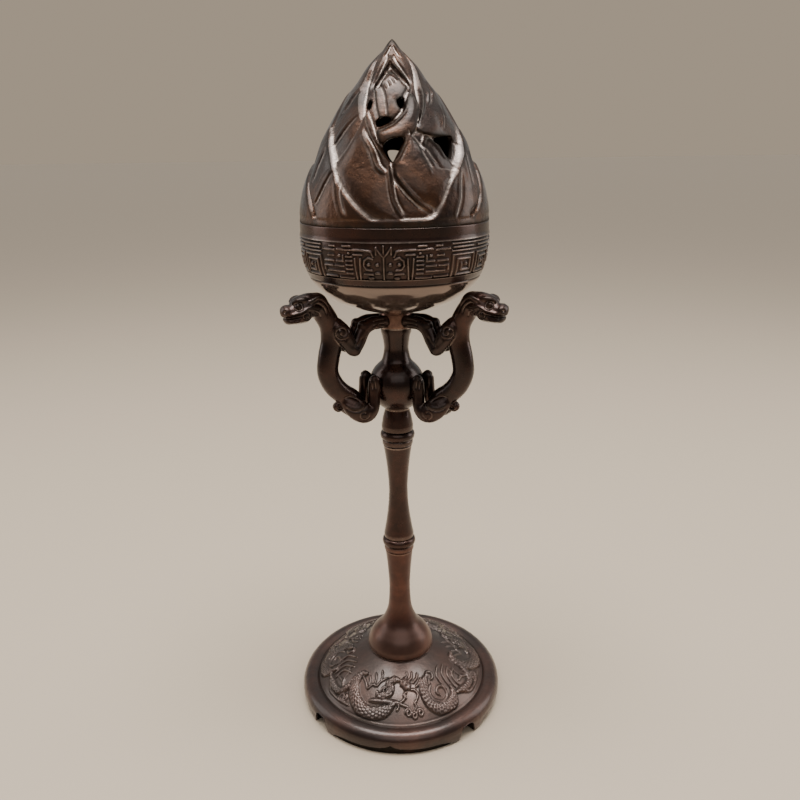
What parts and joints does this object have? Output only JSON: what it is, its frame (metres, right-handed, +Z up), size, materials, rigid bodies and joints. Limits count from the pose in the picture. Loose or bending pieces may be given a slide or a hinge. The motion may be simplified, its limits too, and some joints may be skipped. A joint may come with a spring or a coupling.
{
  "type": "hill censer",
  "caption": "Tall bronze incense burner: pierced mountain lid that lifts off a banded bowl, dragon brackets, bamboo-like stem and a domed relief base.",
  "frame": {"origin": "on the floor, at the centre of the base", "axes": "+Z up along the stem, -Y towards the front, +X to the right seen from the front"},
  "size_m": [0.0888, 0.0916, 0.2702],
  "materials": {
    "bronze": "dark brown patinated cast bronze, semi-gloss, worn on the edges",
    "red_bronze": "reddish brown bronze, semi-gloss",
    "steel": "dull zinc-plated steel",
    "pan_brass": "tarnished brass sheet"
  },
  "bodies": {
    "stand": {"base": "bronze", "base_washer": "steel", "base_nut": "steel", "tie_rod": "steel", "stem_lower": "bronze", "ring_lower": "bronze", "stem_middle": "bronze", "ring_upper": "bronze", "stem_cap": "bronze", "neck_ball": "bronze", "collar": "red_bronze", "dragon_left": "bronze", "dragon_right": "bronze", "dragon_rear": "bronze", "collar_pins": "steel", "ball_pins": "steel", "bowl": "bronze", "bowl_washer": "steel", "bowl_nut": "steel"},
    "lid": {"lid": "bronze"},
    "pan": {"incense_pan": "pan_brass"}
  },
  "joints": [
    {"name": "lid_lift", "type": "slide", "parent": "stand", "child": "lid", "axis": [0, 0, 1], "range_m": [0, 0.1]},
    {"name": "pan_lift", "type": "slide", "parent": "stand", "child": "pan", "axis": [0, 0, 1], "range_m": [0, 0.009]}
  ]
}
